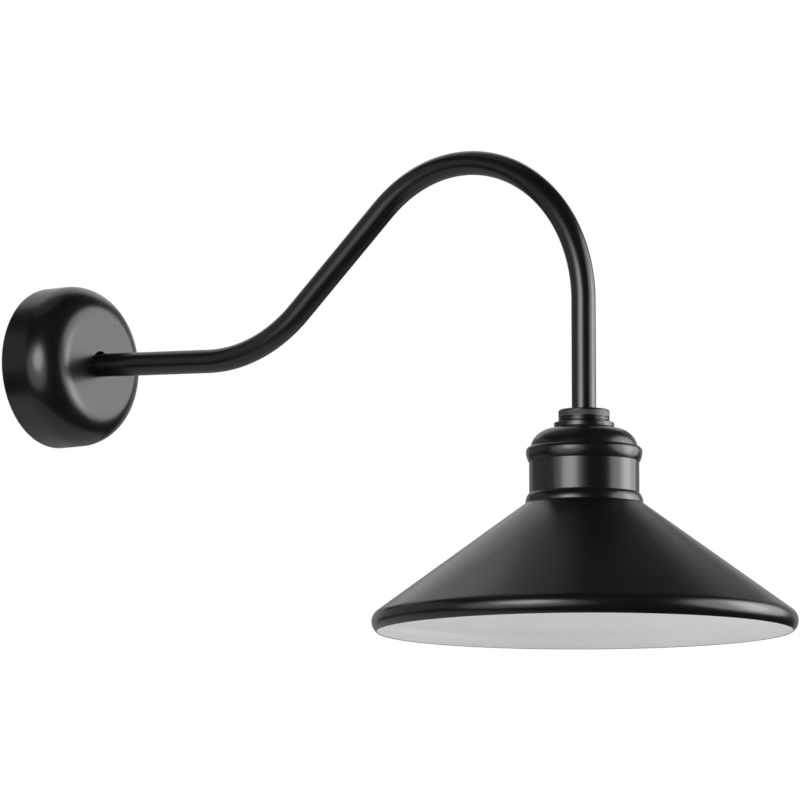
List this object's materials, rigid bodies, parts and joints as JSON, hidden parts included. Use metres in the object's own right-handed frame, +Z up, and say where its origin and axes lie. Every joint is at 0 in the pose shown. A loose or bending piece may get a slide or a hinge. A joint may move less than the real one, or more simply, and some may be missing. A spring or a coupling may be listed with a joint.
{
  "type": "outdoor wall lantern",
  "caption": "Gooseneck outdoor wall lantern: a bent tube arm on a round wall canopy carries a wide cone shade with a rolled rim over a screw-base lamp socket.",
  "frame": {"origin": "centre of the canopy's round back, on the wall plane", "axes": "+Y points into the wall, -Y out of it along the arm, +Z up; the arm lies in the plane x = 0"},
  "size_m": [0.33, 0.705, 0.3859],
  "materials": {
    "black_powder_coat": "satin black powder coat",
    "zinc_plated_steel": "bright zinc plate",
    "black_rubber": "moulded black rubber",
    "black_oxide_steel": "black oxide",
    "green_steel": "green dyed zinc plate",
    "ivory_nylon": "moulded nylon",
    "black_insulation": "woven sleeve over silicone",
    "white_insulation": "woven sleeve over silicone",
    "glazed_porcelain": "white glaze",
    "nickel_brass": "nickel plated brass",
    "brass": "bright brass"
  },
  "bodies": {
    "fixture": {"canopy": "black_powder_coat", "wall_gasket": "black_rubber", "mounting_plate": "zinc_plated_steel", "canopy_set_screws": "black_oxide_steel", "ground_screw": "green_steel", "terminal_block": "ivory_nylon", "block_screws": "zinc_plated_steel", "gooseneck_arm": "black_powder_coat", "wall_nipple": "zinc_plated_steel", "shade_nipple": "zinc_plated_steel", "lock_washers": "zinc_plated_steel", "hex_nuts": "zinc_plated_steel", "hot_lead": "black_insulation", "neutral_lead": "white_insulation", "cap_gasket": "black_rubber", "neck_cap": "black_powder_coat", "shade": "black_powder_coat", "clamp_disc": "zinc_plated_steel", "socket_strap": "zinc_plated_steel", "socket_body": "glazed_porcelain", "screw_shell": "nickel_brass", "contact_rivet": "brass", "socket_screws": "zinc_plated_steel", "socket_terminals": "brass"},
    "captive_washer": {"flange_washer": "black_powder_coat"},
    "lock_ring": {"lock_ring": "black_powder_coat"},
    "contact": {"centre_contact": "brass"}
  },
  "joints": [
    {"name": "washer_lift", "type": "slide", "parent": "fixture", "child": "captive_washer", "axis": [0, 0, 1], "range_m": [0, 0.0042]},
    {"name": "ring_turn", "type": "hinge", "parent": "captive_washer", "child": "lock_ring", "pos_m": [0, -0.54, -0.08], "axis": [0, 0, 1], "range_deg": [0, 990]},
    {"name": "contact_press", "type": "hinge", "parent": "fixture", "child": "contact", "pos_m": [-0.0058, -0.54, -0.1293], "axis": [0, -1, 0], "range_deg": [0, 8], "stiffness_Nm_per_rad": 0.2}
  ],
  "couplings": [
    {"joint": "washer_lift", "follows": "ring_turn", "m_per_rad": 0.0002387}
  ]
}
